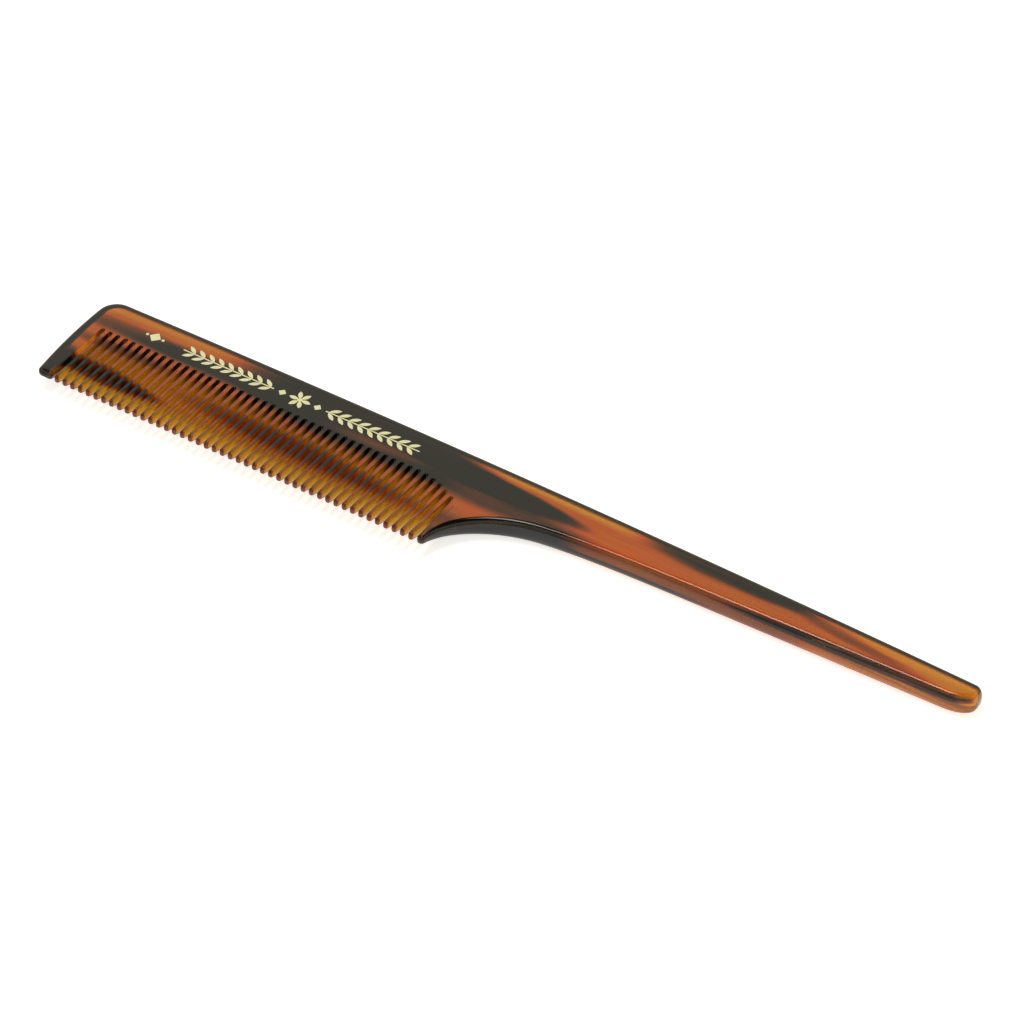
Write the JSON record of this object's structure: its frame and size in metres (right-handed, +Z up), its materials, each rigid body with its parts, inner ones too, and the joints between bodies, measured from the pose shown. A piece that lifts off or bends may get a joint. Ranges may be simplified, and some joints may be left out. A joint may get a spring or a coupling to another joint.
{
  "type": "hair comb",
  "caption": "Tortoiseshell-look tail comb: fine sawn teeth between two guards, a solid back with gold foil ornament and a long tapering tail.",
  "frame": {"origin": "centre of the comb's box on the surface that it lies on", "axes": "+X along the back towards the tail's tip, +Y from the tooth tips towards the back, +Z up out of the decorated face"},
  "size_m": [0.2102, 0.0278, 0.0049],
  "materials": {
    "tortoise_acetate": "polished translucent amber and dark brown",
    "gold_foil": "satin pale gold hot foil"
  },
  "bodies": {
    "root": {"back_bar": "tortoise_acetate", "end_guard": "tortoise_acetate", "heel_guard": "tortoise_acetate", "neck": "tortoise_acetate", "tail_handle": "tortoise_acetate", "tooth_01": "tortoise_acetate", "tooth_02": "tortoise_acetate", "tooth_03": "tortoise_acetate", "tooth_04": "tortoise_acetate", "tooth_05": "tortoise_acetate", "tooth_06": "tortoise_acetate", "tooth_07": "tortoise_acetate", "tooth_08": "tortoise_acetate", "tooth_09": "tortoise_acetate", "tooth_10": "tortoise_acetate", "tooth_11": "tortoise_acetate", "tooth_12": "tortoise_acetate", "tooth_13": "tortoise_acetate", "tooth_14": "tortoise_acetate", "tooth_15": "tortoise_acetate", "tooth_16": "tortoise_acetate", "tooth_17": "tortoise_acetate", "tooth_18": "tortoise_acetate", "tooth_19": "tortoise_acetate", "tooth_20": "tortoise_acetate", "tooth_21": "tortoise_acetate", "tooth_22": "tortoise_acetate", "tooth_23": "tortoise_acetate", "tooth_24": "tortoise_acetate", "tooth_25": "tortoise_acetate", "tooth_26": "tortoise_acetate", "tooth_27": "tortoise_acetate", "tooth_28": "tortoise_acetate", "tooth_29": "tortoise_acetate", "tooth_30": "tortoise_acetate", "tooth_31": "tortoise_acetate", "tooth_32": "tortoise_acetate", "tooth_33": "tortoise_acetate", "tooth_34": "tortoise_acetate", "tooth_35": "tortoise_acetate", "tooth_36": "tortoise_acetate", "tooth_37": "tortoise_acetate", "tooth_38": "tortoise_acetate", "tooth_39": "tortoise_acetate", "tooth_40": "tortoise_acetate", "tooth_41": "tortoise_acetate", "tooth_42": "tortoise_acetate", "tooth_43": "tortoise_acetate", "tooth_44": "tortoise_acetate", "tooth_45": "tortoise_acetate", "foil_lozenge": "gold_foil", "foil_sprig_left": "gold_foil", "foil_rosette": "gold_foil", "foil_sprig_right": "gold_foil"}
  },
  "joints": []
}
